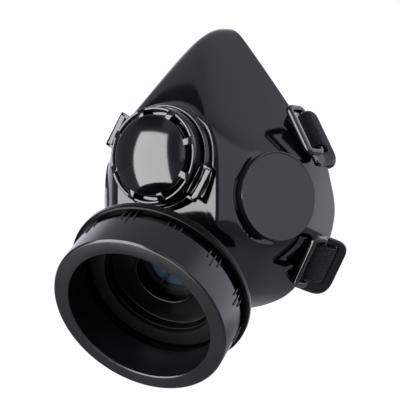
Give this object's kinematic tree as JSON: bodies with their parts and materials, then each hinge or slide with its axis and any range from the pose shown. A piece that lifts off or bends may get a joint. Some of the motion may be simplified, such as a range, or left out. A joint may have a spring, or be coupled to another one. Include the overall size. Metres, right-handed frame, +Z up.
{
  "type": "half face respirator",
  "caption": "Black rubber half-face respirator with one tilted front filter housing, a domed exhalation valve and buckles on side tabs.",
  "frame": {"origin": "centre of the face opening, the point where the mask meets the wearer's face", "axes": "+Z up as worn, the front faces -Y, +X is the wearer's left"},
  "size_m": [0.122, 0.1162, 0.1736],
  "materials": {
    "rubber": "semi-gloss moulded rubber",
    "housing_plastic": "satin moulded plastic",
    "ring_plastic": "satin moulded plastic",
    "seal_rubber": "matte",
    "valve_plastic": "satin",
    "inhalation_silicone": "translucent smooth",
    "gloss_plastic": "polished",
    "exhalation_silicone": "translucent smooth",
    "webbing": "ribbed elastic weave",
    "buckle_plastic": "polished"
  },
  "bodies": {
    "facepiece": {"facepiece": "rubber", "filter_housing": "housing_plastic", "canister_gasket": "seal_rubber", "housing_lock_nut": "ring_plastic", "inhalation_valve_seat": "ring_plastic", "exhalation_valve_body": "gloss_plastic", "exhalation_valve_seat": "valve_plastic", "exhalation_clamp_ring": "ring_plastic", "webbing_upper_left": "webbing", "webbing_upper_right": "webbing", "webbing_lower_left": "webbing", "webbing_lower_right": "webbing"},
    "ring_seal": {"ring_seal": "seal_rubber"},
    "retaining_ring": {"retaining_ring": "ring_plastic"},
    "exhalation_cover": {"exhalation_valve_cover": "gloss_plastic"},
    "exhalation_flap": {"exhalation_flap": "exhalation_silicone"},
    "inhalation_flap": {"inhalation_flap": "inhalation_silicone"},
    "buckle_upper_left": {"buckle_upper_left": "buckle_plastic"},
    "buckle_upper_right": {"buckle_upper_right": "buckle_plastic"},
    "buckle_lower_left": {"buckle_lower_left": "buckle_plastic"},
    "buckle_lower_right": {"buckle_lower_right": "buckle_plastic"}
  },
  "joints": [
    {"name": "ring_lift", "type": "slide", "parent": "facepiece", "child": "ring_seal", "axis": [0, -0.788, -0.6157], "range_m": [0, 0.005]},
    {"name": "ring_turn", "type": "hinge", "parent": "ring_seal", "child": "retaining_ring", "pos_m": [0, -0.07712, -0.06584], "axis": [0, -0.788, -0.6157], "range_deg": [0, 360]},
    {"name": "cover_turn", "type": "hinge", "parent": "facepiece", "child": "exhalation_cover", "pos_m": [0, -0.07, 0], "axis": [0, -1, 0], "range_deg": [0, 25]},
    {"name": "exhalation_flap_lift", "type": "slide", "parent": "facepiece", "child": "exhalation_flap", "axis": [0, -1, 0], "range_m": [0, 0.0014], "stiffness_N_per_m": 20},
    {"name": "inhalation_flap_lift", "type": "slide", "parent": "facepiece", "child": "inhalation_flap", "axis": [0, 0.788, 0.6157], "range_m": [0, 0.0014], "stiffness_N_per_m": 20},
    {"name": "buckle_upper_left_swing", "type": "hinge", "parent": "facepiece", "child": "buckle_upper_left", "pos_m": [0.05002, -0.01262, 0.01489], "axis": [-0.4384, 0, 0.8988], "range_deg": [0, 140]},
    {"name": "buckle_upper_right_swing", "type": "hinge", "parent": "facepiece", "child": "buckle_upper_right", "pos_m": [-0.05002, -0.01262, 0.01489], "axis": [-0.4384, 0, -0.8988], "range_deg": [0, 140]},
    {"name": "buckle_lower_left_swing", "type": "hinge", "parent": "facepiece", "child": "buckle_lower_left", "pos_m": [0.05077, -0.01086, -0.04672], "axis": [0.4695, 0, 0.8829], "range_deg": [0, 110]},
    {"name": "buckle_lower_right_swing", "type": "hinge", "parent": "facepiece", "child": "buckle_lower_right", "pos_m": [-0.05077, -0.01086, -0.04672], "axis": [0.4695, 0, -0.8829], "range_deg": [0, 110]}
  ],
  "couplings": [
    {"joint": "ring_lift", "follows": "ring_turn", "m_per_rad": 0.0007957}
  ]
}
